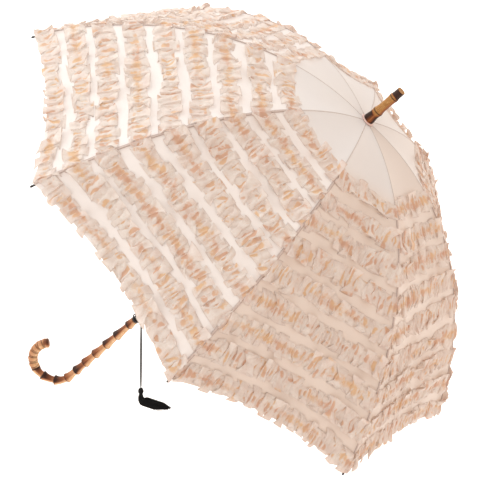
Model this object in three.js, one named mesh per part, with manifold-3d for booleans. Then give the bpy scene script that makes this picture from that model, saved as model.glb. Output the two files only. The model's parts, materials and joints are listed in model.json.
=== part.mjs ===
// Ruffled parasol: eight gores on a folding eight-rib frame, bamboo ferrule and bamboo crook handle.
// Millimetres, +Z up the shaft to the ferrule. Pieces are shaped with z = 0 at the crown of the cloth, and the
// whole group is then lowered so that the origin is the centre of the ferrule's cut end. The parasol is open.

import * as THREE from "three";
import { mergeVertices } from "three/addons/utils/BufferGeometryUtils.js";
import Module from "manifold-3d";

const wasm = await Module();
wasm.setup();

// ---------------------------------------------------------------- driving dimensions
const GORES = 8;
const GAP = 0.3; // clearance left between neighbouring solids

const RIB_ARC = 590; // arc along the cloth, from its first edge at the shaft to a rib tip
const CROWN_R = 8; // radius of the cloth's first edge
const SLOPE_AT_CROWN = -3.4; // degrees below level
const SLOPE_RISE = 92.7; // degrees gained along the rib
const SLOPE_FADE = -29.3; // and lost again towards the tip
const HEM_DIP = 0.037; // share of the arc by which a gore is shorter at its middle than at its ribs
const GORE_SAG = 7; // how far tension pulls the middle of a gore towards the shaft

const CLOTH_T = 1.2;
const RUFFLE_ROWS = 9;
const RUFFLE_FIRST = 162; // arc at the first row's stitch line
const RUFFLE_PITCH = 51.2;
const RUFFLE_HALF = 17; // half the width of a ruffle strip
const RUFFLE_H = 7; // how far the strips stand up

const RIB_R = 1.25;
const RIB_DROP = 4; // rib centre line below the cloth's outer face
const EYE_R = 9; // radius of the ring of rib pivots
const EYE_BLADE = 10.5; // flat length of a rib next to its pivot
const BLADE_T = 1.6;
const WIRE_R = 0.45;
const WIRE_HOLE_R = 0.85;
const TIP_R = 2.4;
const TIP_REACH = 8; // how far a tip stands out past the cloth
const TIP_SOCKET = 9; // how far it reaches back over the rib

const LUG_ARC = 238; // where the stretchers join the ribs
const LUG_DROP = 5; // stretcher pivot below the rib centre line
const LUG_T = 1.2;
const LUG_PIN_R = 0.7;
const LUG_EAR_R = 2.4;
const LUG_HOLE_R = LUG_PIN_R + 0.4;
const STRETCHER_R = 1.2;
const FORK_T = 3.6; // thickness of the fork that straddles the lug

const SHAFT_R = 5;
const SHAFT_BORE_R = 4;
const SHAFT_TOP = 35; // inside the ferrule
const SHAFT_BOTTOM = -640; // inside the handle
const BORE_R = SHAFT_R + GAP;

const RUNNER_PIVOT_R = 12;
const RUNNER_PIVOT_Z = -150;
const RUNNER_CROWN_R = 14;
const RUNNER_CROWN_H = 9;
const RUNNER_TUBE_R = 7.8;
const RUNNER_GRIP_R = 10;
const RUNNER_LENGTH = 60; // from the crown's top to the grip's foot
const STRETCHER_SLOT_W = 3.2;
const RUNNER_TRAVEL = 294.1; // down the shaft, from open to closed
const WINDOW_TOP = RUNNER_PIVOT_Z - 28; // the closed catch springs out through this window
const WINDOW_FOOT = RUNNER_PIVOT_Z - 48;

const CATCH_AZIMUTH = 90; // side of the shaft that the two spring catches come out of
const CATCH_W = 1.6;
const CATCH_NOSE_R = 8.2;
const CATCH_LENGTH = 25;
const CLOSED_CATCH_NOSE_Z = WINDOW_FOOT - RUNNER_TRAVEL + GAP;

const FERRULE_TOP = 80;
const FERRULE_FOOT = 3.6;
const HANDLE_TOP = -591;
const HANDLE_STRAIGHT_END = -774.4;
const HANDLE_R = 7.4;
const CROOK_R = 39.5;
const CROOK_ARC = 218; // degrees
const CROOK_AZIMUTH = 180;
const HANDLE_BORE_DEPTH = 60;

const COLLAR_TOP = -577;
const COLLAR_R = 8.4;
const CORD_Z = -584;
const CORD_LOOP_R = 9.9; // centre line of the cord tied round the collar
const CORD_R = 1.2;
const CORD_PIVOT_R = 12.8;
const CORD_LENGTH = 117; // from the loop to the tassel's head
const TASSEL_HEAD = 14;
const TASSEL_SKIRT = 62;
const SKIRT_DROP = 3.2; // from the head's end to the skirt's pivot
const CORD_DIRECTION = new THREE.Vector3(0.687, -0.285, -0.668).normalize();
const SKIRT_DIRECTION = new THREE.Vector3(0.895, -0.206, 0.397).normalize();

// ---------------------------------------------------------------- materials
const finish = (color, roughness, metalness) => new THREE.MeshStandardMaterial({ color, roughness, metalness });
const SATIN = finish(0xf6ece0, 0.55, 0);
const BAMBOO = finish(0xc58a45, 0.4, 0);
const STEEL = finish(0x8f8d8a, 0.35, 1);
const BLACK_STEEL = finish(0x24211f, 0.45, 0.6);
const BLACK_CORD = finish(0x121113, 0.8, 0);
const PINK_CLOTH = finish(0xe9c4bb, 0.7, 0);

// ---------------------------------------------------------------- helpers
const parasol = new THREE.Group();
const radians = THREE.MathUtils.degToRad;
const place = (r, azimuth, z) => new THREE.Vector3(r * Math.cos(azimuth), r * Math.sin(azimuth), z);

function addNode(name, geometry, material) {
  const mesh = new THREE.Mesh(geometry, material);
  mesh.name = name;
  parasol.add(mesh);
  return mesh;
}

function toManifold(geometry) {
  const bare = geometry.clone();
  bare.deleteAttribute("normal");
  bare.deleteAttribute("uv");
  const merged = mergeVertices(bare, 1e-4);
  const vertProperties = new Float32Array(merged.attributes.position.array);
  const triVerts = new Uint32Array(merged.index.array);
  return new wasm.Manifold(new wasm.Mesh({ numProp: 3, vertProperties, triVerts }));
}

function toGeometry(manifold) {
  const { vertProperties, triVerts } = manifold.getMesh();
  const geometry = new THREE.BufferGeometry();
  geometry.setAttribute("position", new THREE.BufferAttribute(new Float32Array(vertProperties), 3));
  geometry.setIndex(new THREE.BufferAttribute(new Uint32Array(triVerts), 1));
  geometry.computeVertexNormals();
  return geometry;
}

function cut(geometry, ...tools) {
  return toGeometry(tools.reduce((body, tool) => body.subtract(toManifold(tool)), toManifold(geometry)));
}

function join(...geometries) {
  return toGeometry(geometries.map(toManifold).reduce((a, b) => a.add(b)));
}

// Solid of revolution about +Z from [radius, z] points; a hollow profile closes on itself.
function turned(points, sides = 16) {
  const profile = points.map(([r, z]) => new THREE.Vector2(r, z));
  const geometry = new THREE.LatheGeometry(profile, sides);
  geometry.rotateX(Math.PI / 2);
  return outward(geometry);
}

function ring(innerR, outerR, bottom, top, sides = 16) {
  return turned([[innerR, bottom], [outerR, bottom], [outerR, top], [innerR, top], [innerR, bottom]], sides);
}

function signedVolume(geometry) {
  const p = geometry.attributes.position;
  const index = geometry.index;
  const count = index ? index.count : p.count;
  const corner = [0, 1, 2].map(() => new THREE.Vector3());
  let volume = 0;
  for (let i = 0; i < count; i += 3) {
    corner.forEach((v, k) => v.fromBufferAttribute(p, index ? index.getX(i + k) : i + k));
    volume += corner[0].dot(corner[1].clone().cross(corner[2])) / 6;
  }
  return volume;
}

// Turns the triangles over where their winding faces into the solid.
function outward(geometry) {
  const indexed = geometry.index ? geometry : mergeVertices(geometry);
  if (signedVolume(indexed) < 0) {
    const index = indexed.index.array;
    for (let i = 0; i < index.length; i += 3) {
      [index[i], index[i + 1]] = [index[i + 1], index[i]];
    }
  }
  return indexed;
}

function polygon(sides, radius) {
  const shape = new THREE.Shape();
  for (let i = 0; i < sides; i++) {
    const angle = (2 * Math.PI * i) / sides;
    shape[i ? "lineTo" : "moveTo"](radius * Math.cos(angle), radius * Math.sin(angle));
  }
  return shape;
}

// A rod of constant section along a curve.
function rod(points, radius, steps, sides = 6) {
  const path = points.length > 2 ? new THREE.CatmullRomCurve3(points) : new THREE.LineCurve3(...points);
  return outward(new THREE.ExtrudeGeometry(polygon(sides, radius), { extrudePath: path, steps, curveSegments: 1 }));
}

// A plate in the plane of radius and height at the given azimuth, centred on it.
function radialPlate(outline, thickness, azimuth, holes = []) {
  const shape = new THREE.Shape(outline.map(([r, z]) => new THREE.Vector2(r, z)));
  shape.holes = holes;
  const geometry = new THREE.ExtrudeGeometry(shape, { depth: thickness, bevelEnabled: false, curveSegments: 8 });
  geometry.translate(0, 0, -thickness / 2);
  geometry.rotateX(Math.PI / 2);
  geometry.rotateZ(azimuth);
  return outward(geometry);
}

function circlePoints([r, z], radius, count, from = 0) {
  return Array.from({ length: count }, (_, i) => {
    const angle = from + (2 * Math.PI * i) / count;
    return [r + radius * Math.cos(angle), z + radius * Math.sin(angle)];
  });
}

function circleHole(centre, radius, count = 10) {
  return new THREE.Path(circlePoints(centre, radius, count).map(([r, z]) => new THREE.Vector2(r, z)));
}

// A pin along the tangent at one azimuth.
function tangentPin([r, z], radius, length, azimuth) {
  const geometry = new THREE.CylinderGeometry(radius, radius, length, 8);
  geometry.translate(r, 0, 0);
  geometry.translate(0, 0, z);
  geometry.rotateZ(azimuth);
  return geometry;
}

// ---------------------------------------------------------------- canopy shape
const slopeAt = (arc) => {
  const x = arc / RIB_ARC;
  return radians(SLOPE_AT_CROWN + SLOPE_RISE * x + SLOPE_FADE * x * x);
};

// Radius and height of the cloth's outer face over a rib, at an arc from its first edge.
function clothAt(arc) {
  const steps = Math.max(1, Math.ceil(arc / 2));
  const step = arc / steps;
  let r = CROWN_R;
  let z = 0;
  for (let i = 0; i < steps; i++) {
    const slope = slopeAt((i + 0.5) * step);
    r += Math.cos(slope) * step;
    z -= Math.sin(slope) * step;
  }
  return { r, z, slope: slopeAt(arc) };
}

// The same, dropped below the outer face along its normal.
function underCloth(arc, drop) {
  const { r, z, slope } = clothAt(arc);
  return [r - Math.sin(slope) * drop, z - Math.cos(slope) * drop];
}

const HALF_GORE = Math.PI / GORES;

// A point of a gore: across is 0 at its middle and 1 at the rib; side is -1 or 1.
function gorePoint(arc, across, lift) {
  const middle = 1 - across * across;
  const { r, z, slope } = clothAt(arc * (1 - HEM_DIP * middle));
  const pull = GORE_SAG * middle * Math.sin((Math.PI * arc) / RIB_ARC) - lift;
  const x = r * Math.cos(HALF_GORE) - Math.sin(slope) * pull;
  const seamY = x * Math.tan(HALF_GORE) - GAP / 2 / Math.cos(HALF_GORE);
  const y = GAP / 2 + across * (seamY - GAP / 2);
  return [x, y, z - Math.cos(slope) * pull];
}

// Arc stations of a half gore with the height its face stands up there: each ruffle strip is a low ridge.
function goreStations() {
  const stations = [[0, 0], [RUFFLE_FIRST / 3, 0], [(2 * RUFFLE_FIRST) / 3, 0]];
  for (let row = 0; row < RUFFLE_ROWS; row++) {
    const centre = RUFFLE_FIRST + row * RUFFLE_PITCH;
    stations.push([centre - RUFFLE_HALF, 0], [centre, RUFFLE_H]);
    stations.push(row === RUFFLE_ROWS - 1 ? [RIB_ARC, RUFFLE_H] : [centre + RUFFLE_HALF, 0]);
  }
  return stations;
}

// Half a gore as a closed sheet, from its middle line to its rib.
function halfGore(side) {
  const stations = goreStations();
  const acrossAt = [0, 1];
  const columns = acrossAt.length;
  const positions = [];
  for (const face of [0, 1]) {
    for (const [arc, lift] of stations) {
      for (const across of acrossAt) {
        const [x, y, z] = gorePoint(arc, across, lift - face * CLOTH_T);
        positions.push(x, side * y, z);
      }
    }
  }
  const faceSize = stations.length * columns;
  const at = (face, i, j) => face * faceSize + i * columns + j;
  const index = [];
  const quad = (a, b, c, d) => index.push(a, b, c, a, c, d);
  for (let i = 0; i + 1 < stations.length; i++) {
    for (let j = 0; j + 1 < columns; j++) {
      quad(at(0, i, j), at(0, i + 1, j), at(0, i + 1, j + 1), at(0, i, j + 1));
      quad(at(1, i, j), at(1, i, j + 1), at(1, i + 1, j + 1), at(1, i + 1, j));
    }
    quad(at(0, i, 0), at(1, i, 0), at(1, i + 1, 0), at(0, i + 1, 0));
    quad(at(0, i, columns - 1), at(0, i + 1, columns - 1), at(1, i + 1, columns - 1), at(1, i, columns - 1));
  }
  for (let j = 0; j + 1 < columns; j++) {
    const end = stations.length - 1;
    quad(at(0, 0, j), at(0, 0, j + 1), at(1, 0, j + 1), at(1, 0, j));
    quad(at(0, end, j), at(1, end, j), at(1, end, j + 1), at(0, end, j + 1));
  }
  const geometry = new THREE.BufferGeometry();
  geometry.setAttribute("position", new THREE.Float32BufferAttribute(positions, 3));
  geometry.setIndex(index);
  return outward(geometry);
}

for (let gore = 1; gore <= GORES; gore++) {
  const middle = (gore - 0.5) * 2 * HALF_GORE;
  addNode(`gore_${gore}_left`, halfGore(-1).rotateZ(middle), SATIN);
  addNode(`gore_${gore}_right`, halfGore(1).rotateZ(middle), SATIN);
}

// ---------------------------------------------------------------- ribs, tips and stretchers
const EYE = [EYE_R, -RIB_DROP];
const ribPoint = (arc) => underCloth(arc, RIB_DROP);
const lugPivot = underCloth(LUG_ARC, RIB_DROP + LUG_DROP);

function rib(azimuth) {
  const bladeEnd = EYE_BLADE - CROWN_R + EYE_R;
  const arcs = [bladeEnd, 60, 120, 180, 240, 300, 360, 420, 480, 540, RIB_ARC - 4];
  const line = arcs.map((arc) => {
    const [r, z] = ribPoint(arc);
    return place(r, azimuth, z);
  });
  const [endR, endZ] = ribPoint(bladeEnd + 3);
  const eye = circlePoints(EYE, BLADE_T, 8, Math.PI / 2).slice(0, 5);
  const blade = [...eye, [endR, endZ - 1.2], [endR, endZ + 1.2]];
  const onRib = ribFrame(LUG_ARC);
  const ear = circlePoints([0, -LUG_DROP], LUG_EAR_R, 12, Math.PI).slice(0, 7);
  const lug = [[-3.4, 0.3], ...ear, [3.4, 0.3]].map(onRib);
  return join(
    rod(line, RIB_R, 14),
    radialPlate(blade, BLADE_T, azimuth, [circleHole(EYE, WIRE_HOLE_R)]),
    radialPlate(lug, LUG_T, azimuth, [circleHole(lugPivot, LUG_HOLE_R)]),
  );
}

// Maps [along the rib, out from it] at an arc of the rib to [radius, z].
function ribFrame(arc) {
  const [r, z] = ribPoint(arc);
  const slope = slopeAt(arc);
  return ([along, out]) => [
    r + along * Math.cos(slope) + out * Math.sin(slope),
    z - along * Math.sin(slope) + out * Math.cos(slope),
  ];
}

function ribTip(azimuth) {
  const [r, z] = ribPoint(RIB_ARC);
  const slope = slopeAt(RIB_ARC);
  const socket = RIB_R + GAP;
  const geometry = turned([
    [socket, -TIP_SOCKET], [TIP_R, -TIP_SOCKET], [TIP_R, 3], [1.4, TIP_REACH - 1], [0, TIP_REACH], [0, -3],
    [socket, -3], [socket, -TIP_SOCKET],
  ], 8);
  geometry.rotateY(Math.PI / 2 + slope);
  geometry.translate(r, 0, z);
  geometry.rotateZ(azimuth);
  return geometry;
}

function stretcher(azimuth) {
  const foot = [RUNNER_PIVOT_R, RUNNER_PIVOT_Z];
  const length = Math.hypot(lugPivot[0] - foot[0], lugPivot[1] - foot[1]);
  const along = [(foot[0] - lugPivot[0]) / length, (foot[1] - lugPivot[1]) / length];
  const onLine = (distance) => [lugPivot[0] + along[0] * distance, lugPivot[1] + along[1] * distance];
  const start = onLine(7);
  const bar = rod([place(start[0], azimuth, start[1]), place(foot[0], azimuth, foot[1])], STRETCHER_R, 1);
  const corner = ([distance, width]) => {
    const [r, z] = onLine(distance);
    return [r - along[1] * width, z + along[0] * width];
  };
  const nose = [[0, 2.2], [-1.6, 1.5], [-2.2, 0], [-1.6, -1.5], [0, -2.2]];
  const block = radialPlate([...nose, [9, -1.6], [9, 1.6]].map(corner), FORK_T, azimuth);
  const mouth = radialPlate([[-4, -4], [4.5, -4], [4.5, 4], [-4, 4]].map(corner), LUG_T + 2 * GAP, azimuth);
  const pin = tangentPin(lugPivot, LUG_PIN_R, FORK_T - 0.6, azimuth);
  return join(cut(block, mouth), bar, pin);
}

for (let n = 1; n <= GORES; n++) {
  const azimuth = (n - 1) * 2 * HALF_GORE;
  addNode(`rib_${n}`, rib(azimuth), BLACK_STEEL);
  addNode(`rib_tip_${n}`, ribTip(azimuth), BLACK_STEEL);
  addNode(`stretcher_${n}`, stretcher(azimuth), BLACK_STEEL);
}

// ---------------------------------------------------------------- crown: notch, wire, rosette, ferrule
function slots(innerR, outerR, width, bottom, top) {
  return Array.from({ length: GORES }, (_, n) => {
    const box = new THREE.BoxGeometry(outerR - innerR, width, top - bottom);
    box.translate((innerR + outerR) / 2, 0, (bottom + top) / 2);
    return box.rotateZ(n * 2 * HALF_GORE);
  });
}

const NOTCH_R = 13;
const NOTCH_TOP = -CLOTH_T - 0.5;
const NOTCH_FOOT = -16;
const NOTCH_HUB_R = 7;
const NOTCH_RIM_FOOT = -9;
const notch = cut(
  turned([
    [BORE_R, NOTCH_FOOT], [NOTCH_HUB_R, NOTCH_FOOT], [NOTCH_HUB_R, NOTCH_RIM_FOOT], [NOTCH_R, NOTCH_RIM_FOOT],
    [NOTCH_R, NOTCH_TOP], [BORE_R, NOTCH_TOP], [BORE_R, NOTCH_FOOT],
  ], 24),
  ring(EYE_R - 1, NOTCH_R + 1, EYE[1] - 1, EYE[1] + 1, 24),
  ...slots(EYE_R - 2.2, NOTCH_R + 2, BLADE_T + 2 * GAP, NOTCH_RIM_FOOT - 1, NOTCH_TOP + 1),
);
addNode("top_notch", notch, STEEL);

function wireRing(radius, wire, z, sides) {
  const profile = circlePoints([radius, z], wire, 5);
  return turned([...profile, profile[0]], sides);
}
addNode("notch_wire", wireRing(EYE_R, WIRE_R, EYE[1], 24), STEEL);

addNode("crown_rosette", turned([
  [BORE_R, 1.1], [10.6, 1.1], [11.6, 1.9], [10.8, 2.9], [9.2, 3.3], [BORE_R, 3.3], [BORE_R, 1.1],
]), PINK_CLOTH);

const ferruleOutline = [
  [9.4, FERRULE_FOOT], [9.6, 6], [8.6, 14], [7.8, 21], [8.7, 24], [9, 25.5], [8.5, 27.5], [7.5, 30], [7.3, 44],
  [7.4, 57], [8.3, 61], [8.5, 62.5], [7.6, 65], [7.1, 68], [7, FERRULE_TOP],
];
addNode("ferrule", turned([
  [BORE_R, FERRULE_FOOT], ...ferruleOutline, [0, FERRULE_TOP], [0, SHAFT_TOP + GAP], [BORE_R, SHAFT_TOP + GAP],
  [BORE_R, FERRULE_FOOT],
]), BAMBOO);

// ---------------------------------------------------------------- shaft, stop pin and the two spring catches
const RUNNER_TOP = RUNNER_PIVOT_Z + RUNNER_CROWN_H / 2;
const RUNNER_FOOT = RUNNER_TOP - RUNNER_LENGTH;
const STOP_PIN_R = 1;
const STOP_PIN_LENGTH = 14;
const STOP_PIN_Z = RUNNER_TOP + GAP + STOP_PIN_R;
const OPEN_CATCH_NOSE_Z = RUNNER_FOOT - 0.8;
const catchAzimuth = radians(CATCH_AZIMUTH);

// A leaf whose nose stands out of the shaft: up is 1 when its nose is at its top end.
function catchLeaf(noseZ, up) {
  const z = (distance) => noseZ - up * distance;
  const outline = [
    [CATCH_NOSE_R - 1.4, z(0)], [CATCH_NOSE_R, z(0)], [CATCH_NOSE_R, z(2)], [3.4, z(CATCH_LENGTH)],
    [1.8, z(CATCH_LENGTH)], [1.8, z(CATCH_LENGTH - 3)],
  ];
  return radialPlate(outline, CATCH_W, catchAzimuth);
}

function catchSlot(noseZ, up) {
  const ends = [noseZ + up * 1, noseZ - up * (CATCH_LENGTH + 1.5)];
  const bottom = Math.min(...ends);
  const top = Math.max(...ends);
  const box = new THREE.BoxGeometry(SHAFT_R + 1, CATCH_W + 2 * GAP, top - bottom);
  box.translate((SHAFT_R + 1) / 2 + 1, 0, (top + bottom) / 2);
  return box.rotateZ(catchAzimuth);
}

const stopPinHole = new THREE.CylinderGeometry(STOP_PIN_R + GAP, STOP_PIN_R + GAP, STOP_PIN_LENGTH, 12);
const stopPin = new THREE.CylinderGeometry(STOP_PIN_R, STOP_PIN_R, STOP_PIN_LENGTH, 12);
for (const piece of [stopPinHole, stopPin]) {
  piece.rotateZ(Math.PI / 2);
  piece.translate(0, 0, STOP_PIN_Z);
}

addNode("shaft", cut(
  ring(SHAFT_BORE_R, SHAFT_R, SHAFT_BOTTOM, SHAFT_TOP),
  catchSlot(OPEN_CATCH_NOSE_Z, 1),
  catchSlot(CLOSED_CATCH_NOSE_Z, -1),
  stopPinHole,
), BLACK_STEEL);
addNode("stop_pin", stopPin, STEEL);
addNode("open_catch", catchLeaf(OPEN_CATCH_NOSE_Z, 1), STEEL);
addNode("closed_catch", catchLeaf(CLOSED_CATCH_NOSE_Z, -1), STEEL);

// ---------------------------------------------------------------- runner
const runnerBody = turned([
  [BORE_R, RUNNER_FOOT], [RUNNER_GRIP_R, RUNNER_FOOT], [RUNNER_GRIP_R, RUNNER_FOOT + 5],
  [RUNNER_TUBE_R, RUNNER_FOOT + 8], [RUNNER_TUBE_R, RUNNER_TOP - RUNNER_CROWN_H - 2],
  [RUNNER_CROWN_R, RUNNER_TOP - RUNNER_CROWN_H], [RUNNER_CROWN_R, RUNNER_TOP], [BORE_R, RUNNER_TOP],
  [BORE_R, RUNNER_FOOT],
], 24);
const runnerWindow = new THREE.BoxGeometry(RUNNER_GRIP_R, CATCH_W + 4 * GAP, WINDOW_TOP - WINDOW_FOOT);
runnerWindow.translate(RUNNER_GRIP_R / 2 + 3, 0, (WINDOW_TOP + WINDOW_FOOT) / 2);
runnerWindow.rotateZ(catchAzimuth);
addNode("runner", cut(
  runnerBody,
  ...slots(RUNNER_PIVOT_R - 2.4, RUNNER_CROWN_R + 2, STRETCHER_SLOT_W, RUNNER_TOP - RUNNER_CROWN_H - 3, RUNNER_TOP + 1),
  runnerWindow,
), STEEL);

// ---------------------------------------------------------------- handle
// Centre line of the handle: straight down, then round the crook.
class HandleLine extends THREE.Curve {
  constructor() {
    super();
    this.straight = HANDLE_TOP - HANDLE_STRAIGHT_END;
    this.total = this.straight + CROOK_R * radians(CROOK_ARC);
  }

  getPoint(t, target = new THREE.Vector3()) {
    const distance = t * this.total;
    const azimuth = radians(CROOK_AZIMUTH);
    if (distance <= this.straight) {
      return target.set(0, 0, HANDLE_TOP - distance);
    }
    const angle = (distance - this.straight) / CROOK_R;
    const out = CROOK_R * (1 - Math.cos(angle));
    const z = HANDLE_STRAIGHT_END - CROOK_R * Math.sin(angle);
    return target.set(out * Math.cos(azimuth), out * Math.sin(azimuth), z);
  }
}

const handleLine = new HandleLine();
const handleBar = outward(new THREE.ExtrudeGeometry(polygon(10, HANDLE_R), {
  extrudePath: handleLine,
  steps: 34,
  curveSegments: 1,
}));
const handleBore = new THREE.CylinderGeometry(BORE_R, BORE_R, HANDLE_BORE_DEPTH, 16);
handleBore.rotateX(Math.PI / 2);
handleBore.translate(0, 0, SHAFT_BOTTOM - GAP + HANDLE_BORE_DEPTH / 2);
addNode("handle", cut(handleBar, handleBore), BAMBOO);

addNode("handle_collar", ring(BORE_R, COLLAR_R, HANDLE_TOP + GAP, COLLAR_TOP), BLACK_STEEL);
addNode("cord_loop", wireRing(CORD_LOOP_R, CORD_R, CORD_Z, 16), BLACK_CORD);

// ---------------------------------------------------------------- cord and tassel
const cordAzimuth = Math.atan2(CORD_DIRECTION.y, CORD_DIRECTION.x);
const cordStart = place(CORD_PIVOT_R, cordAzimuth, CORD_Z);
const cordEnd = cordStart.clone().addScaledVector(CORD_DIRECTION, CORD_LENGTH);
addNode("tassel_cord", rod([cordStart, cordEnd], CORD_R, 2, 8), BLACK_CORD);

function aimed(geometry, start, direction) {
  geometry.applyQuaternion(new THREE.Quaternion().setFromUnitVectors(new THREE.Vector3(0, 0, 1), direction));
  geometry.translate(...start.toArray());
  return geometry;
}

const headStart = cordEnd.clone().addScaledVector(CORD_DIRECTION, GAP);
addNode("tassel_head", aimed(turned([
  [0, 0], [2.6, 1], [4.6, 4], [4.8, 7], [3.4, 10], [3.2, 11.5], [4, TASSEL_HEAD], [0, TASSEL_HEAD],
], 14), headStart, CORD_DIRECTION), BLACK_CORD);

const skirtStart = headStart.clone().addScaledVector(CORD_DIRECTION, TASSEL_HEAD + SKIRT_DROP);
addNode("tassel_skirt", aimed(turned([
  [0, 0], [2.2, 0.4], [4.8, 6], [8, 22], [8.6, 44], [5.6, TASSEL_SKIRT], [0, TASSEL_SKIRT],
], 14), skirtStart, SKIRT_DIRECTION), BLACK_CORD);

parasol.position.z = -FERRULE_TOP;

export default parasol;
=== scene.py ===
"""Ruffled parasol: the looks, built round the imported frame.

Metres, +Z up the shaft, z = 0 at the ferrule's flat end. The canopy, its ruffles, the bamboo, the
collar, the rosette, the rib tips, the cord and the tassel are made here; the folding frame keeps
its CAD shapes.
"""
import json
import math

import bpy
import numpy as np
from mathutils import Matrix, Vector


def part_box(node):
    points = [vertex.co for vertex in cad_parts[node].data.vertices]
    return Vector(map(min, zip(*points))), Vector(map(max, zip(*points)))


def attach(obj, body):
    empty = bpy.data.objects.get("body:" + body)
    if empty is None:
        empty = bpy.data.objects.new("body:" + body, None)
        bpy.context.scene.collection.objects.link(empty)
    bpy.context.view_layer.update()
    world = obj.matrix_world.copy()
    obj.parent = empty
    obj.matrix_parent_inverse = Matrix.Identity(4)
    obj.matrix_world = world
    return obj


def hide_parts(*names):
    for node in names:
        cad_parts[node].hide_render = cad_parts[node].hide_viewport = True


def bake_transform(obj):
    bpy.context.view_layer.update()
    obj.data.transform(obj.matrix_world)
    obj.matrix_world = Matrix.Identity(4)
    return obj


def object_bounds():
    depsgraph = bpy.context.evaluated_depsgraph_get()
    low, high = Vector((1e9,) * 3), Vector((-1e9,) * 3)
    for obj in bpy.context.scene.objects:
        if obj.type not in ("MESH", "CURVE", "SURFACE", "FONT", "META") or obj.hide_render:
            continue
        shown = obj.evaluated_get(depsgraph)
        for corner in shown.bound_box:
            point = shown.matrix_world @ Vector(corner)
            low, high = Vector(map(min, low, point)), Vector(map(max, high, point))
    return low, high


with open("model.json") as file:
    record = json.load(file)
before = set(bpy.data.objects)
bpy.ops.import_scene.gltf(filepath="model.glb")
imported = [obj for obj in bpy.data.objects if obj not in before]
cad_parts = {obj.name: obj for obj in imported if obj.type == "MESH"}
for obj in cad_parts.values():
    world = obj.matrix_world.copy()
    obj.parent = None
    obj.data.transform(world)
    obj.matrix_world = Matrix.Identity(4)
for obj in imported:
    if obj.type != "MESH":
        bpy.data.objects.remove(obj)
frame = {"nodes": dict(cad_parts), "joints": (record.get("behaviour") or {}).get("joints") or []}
cad_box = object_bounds()

MM = 0.001
TAU = 2 * math.pi

# ---------------------------------------------------------------- driving dimensions, as in the CAD
GORES = 8
HALF_GORE = math.pi / GORES
RIB_ARC = 590 * MM
CROWN_R = 8 * MM
SLOPE_AT_CROWN, SLOPE_RISE, SLOPE_FADE = -3.4, 92.7, -29.3  # degrees
HEM_DIP = 0.037
GORE_SAG = 7 * MM
RUFFLE_ROWS = 9
RUFFLE_FIRST = 162 * MM
RUFFLE_PITCH = 51.2 * MM
RIB_DROP = 4 * MM
CROWN_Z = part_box("ferrule")[1][2] - 80 * MM
FERRULE_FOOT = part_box("ferrule")[0][2]
FERRULE_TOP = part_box("ferrule")[1][2]
HANDLE_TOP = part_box("handle")[1][2]
HANDLE_STRAIGHT_END = CROWN_Z - 774.4 * MM
CROOK_R = 39.5 * MM
CROOK_ARC = math.radians(218)

# ---------------------------------------------------------------- dimensions, tints and painted shade of the looks only
SATIN_THICKNESS = 0.5 * MM
ORGANZA_THICKNESS = 0.3 * MM
HEM_START, HEM_SLOPE, HEM_RISE = 583 * MM, 3 * MM, 0.4 * MM
CAP_EDGE, CAP_FADE = 120 * MM, 60 * MM  # where the cap's painted shade starts to fade, and over what length
# Painted shade: how strongly the satin of each gore is darkened, on the cap and below it. This copies how
# light and dark the panels look in the photograph. It isn't known to be a difference in the cloth.
CAP_PAINTED_SHADE = {1: 0.4, 2: 0.3, 4: 0.3, 5: 0.1, 6: 0.0, 7: 0.1, 8: 1.0}
CAP_PAINTED_SHADE_ELSEWHERE = 0.2
OUTER_PAINTED_SHADE = {7: 1.1, 8: 0.9}

# The hem's dip gathers towards the hem, so that rows nearer the crown run straight. The CAD spreads it
# evenly along the arc; the surface is nearly the same.
DIP_POWER = 5
WELT_FLATNESS = 3.4  # width over height
RUFFLE_WIDTH = 20 * MM  # stitch line to edge, along the cloth

HANDLE_WAIST, HANDLE_FLARE, HANDLE_LEDGE = 6.1 * MM, 3.4 * MM, 2.2 * MM
# directions of the painted shade on the ferrule, about the shaft, and of the handle's scorching, about its
# own line
FOOT_PAINTED_SHADE, SIDE_PAINTED_SHADE = math.radians(200), math.radians(330)
HANDLE_SCORCH, RING_SCORCH = math.radians(212), math.radians(325)

rng = np.random.default_rng(7)


# ---------------------------------------------------------------- meshes
def new_mesh(name, verts, faces, body, material):
    mesh = bpy.data.meshes.new(name)
    faces = faces.tolist() if isinstance(faces, np.ndarray) else faces
    mesh.from_pydata(np.asarray(verts).tolist(), [], faces)
    mesh.validate()
    mesh.polygons.foreach_set("use_smooth", [True] * len(mesh.polygons))
    obj = bpy.data.objects.new(name, mesh)
    bpy.context.collection.objects.link(obj)
    mesh.materials.append(material)
    if body:
        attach(obj, body)
    return obj


def thicken(obj, thickness, offset):
    """Gives a sheet its thickness, with crisp rims."""
    mesh = obj.data
    loops = np.empty(len(mesh.loops), np.int32)
    mesh.loops.foreach_get("edge_index", loops)
    rim = np.bincount(loops, minlength=len(mesh.edges)) == 1
    mesh.attributes.new("sharp_edge", "BOOLEAN", "EDGE").data.foreach_set("value", rim)
    modifier = obj.modifiers.new("cloth", "SOLIDIFY")
    modifier.thickness = thickness
    modifier.offset = offset


def add_attribute(obj, name, values):
    attribute = obj.data.attributes.new(name, "FLOAT", "POINT")
    attribute.data.foreach_set("value", np.asarray(values, np.float32))


def grid_faces(rows, columns, wrap=False, offset=0):
    """Quads of a rows x columns grid of points; wrap joins the last column to the first."""
    i, j = np.meshgrid(np.arange(rows - 1), np.arange(columns - (0 if wrap else 1)), indexing="ij")
    k = (j + 1) % columns
    quads = np.stack([i * columns + j, i * columns + k, (i + 1) * columns + k, (i + 1) * columns + j], -1)
    return quads.reshape(-1, 4) + offset


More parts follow.
